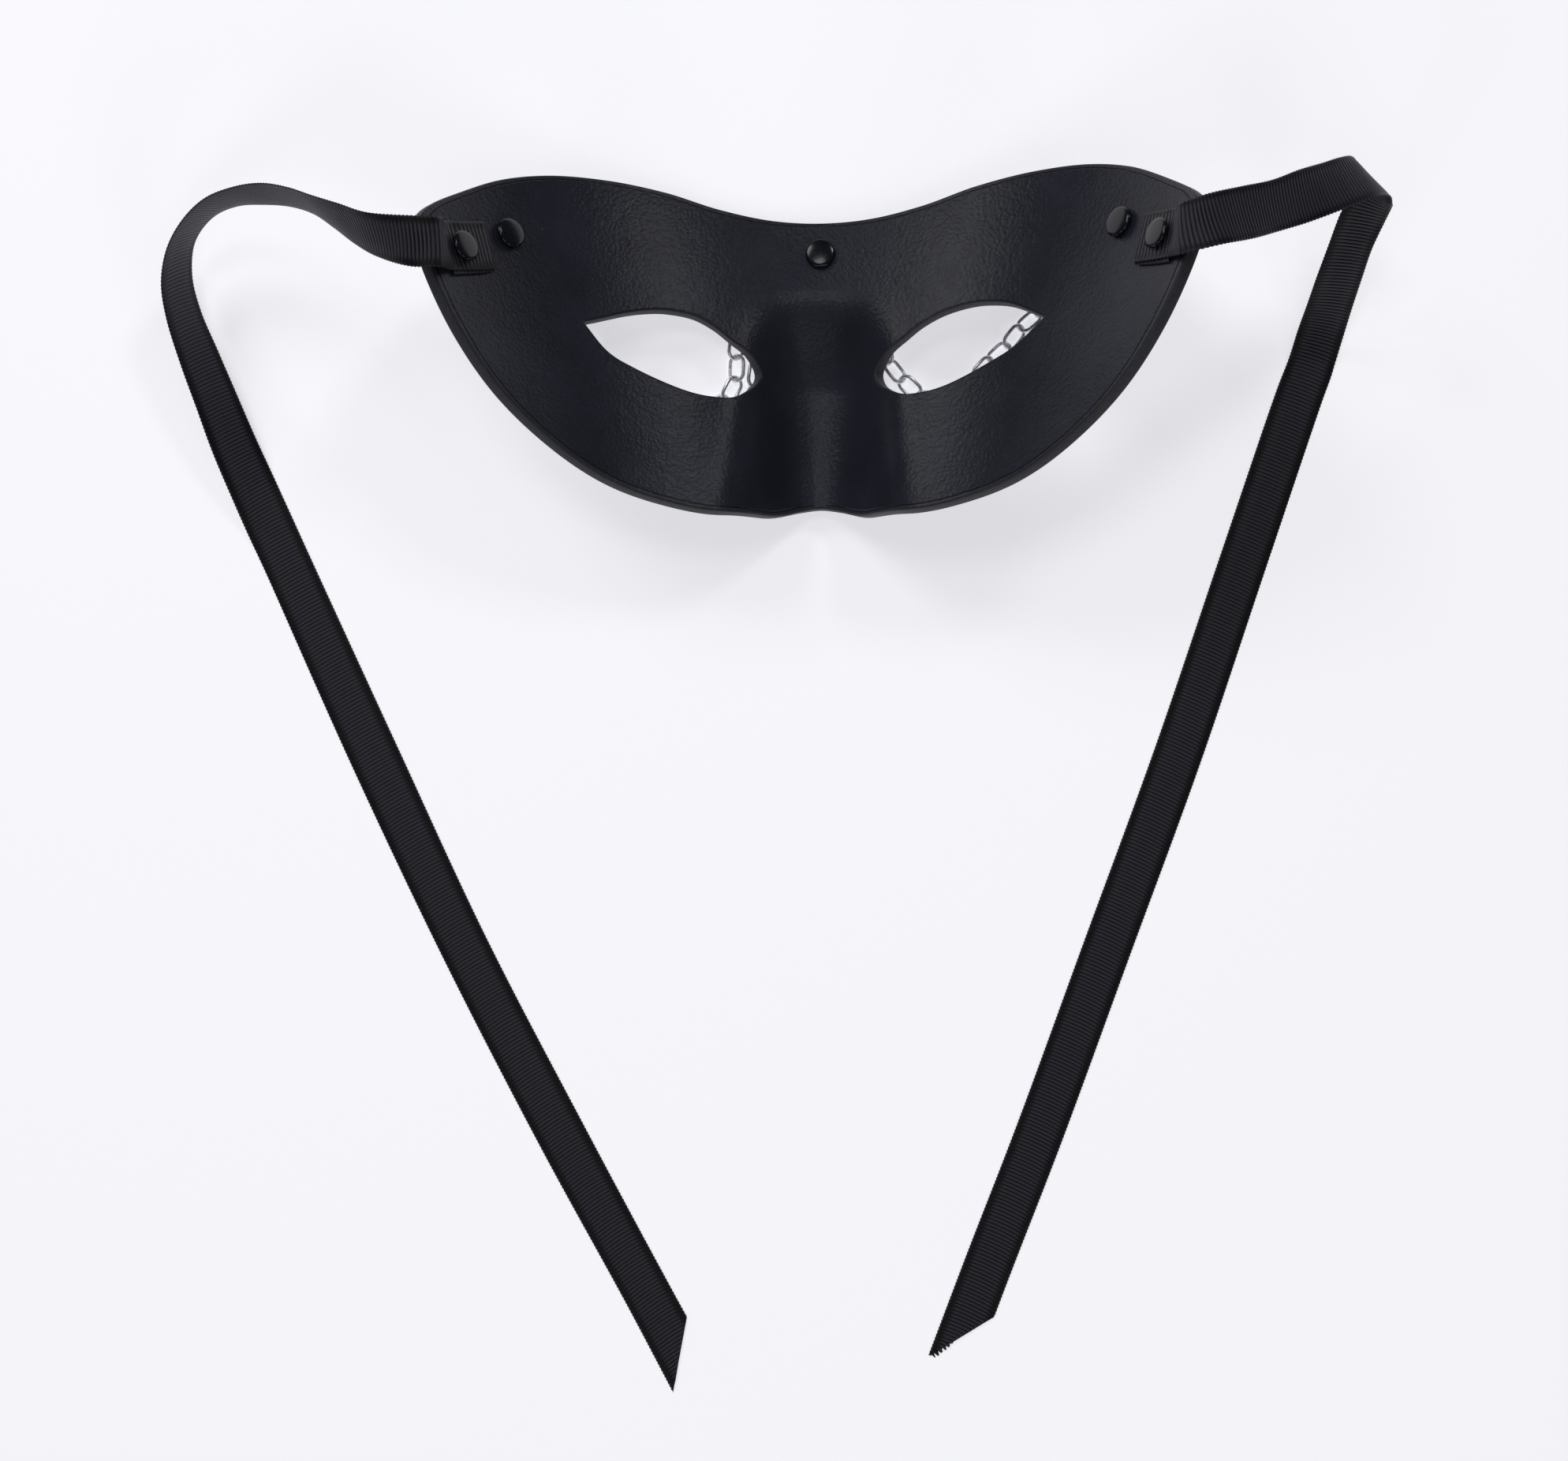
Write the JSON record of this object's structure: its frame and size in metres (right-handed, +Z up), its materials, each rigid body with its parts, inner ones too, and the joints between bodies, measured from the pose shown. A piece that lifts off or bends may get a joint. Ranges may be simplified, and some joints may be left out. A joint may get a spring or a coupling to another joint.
{
  "type": "moulded leather eye mask",
  "caption": "Half-face eye mask of moulded black leather with shaped eye holes, a deep nose ridge, riveted grosgrain tie ribbons and fine silver chain swags, lying face down.",
  "frame": {"origin": "on the table, under the middle of the mask without its ribbons", "axes": "+Z up, out of the mask's hollow inner side; +X to the wearer's right; +Y towards the brow. The mask lies face down on its brow, forehead rivet and nose."},
  "size_m": [0.3154, 0.3205, 0.0738],
  "materials": {
    "leather": "matte, fine grain, wet-moulded and dyed",
    "rivet_lacquer": "semi-gloss black lacquer",
    "grosgrain": "ribbed weave, soft sheen",
    "chain_silver": "polished silver plate"
  },
  "bodies": {
    "root": {"mask_shell": "leather", "rivet_forehead": "rivet_lacquer", "rivet_temple_left": "rivet_lacquer", "rivet_temple_right": "rivet_lacquer", "rivet_ribbon_left": "rivet_lacquer", "rivet_ribbon_right": "rivet_lacquer", "ribbon_left": "grosgrain", "ribbon_right": "grosgrain", "chain_left_short": "chain_silver", "chain_left_long": "chain_silver", "chain_right_short": "chain_silver", "chain_right_long": "chain_silver"}
  },
  "joints": []
}
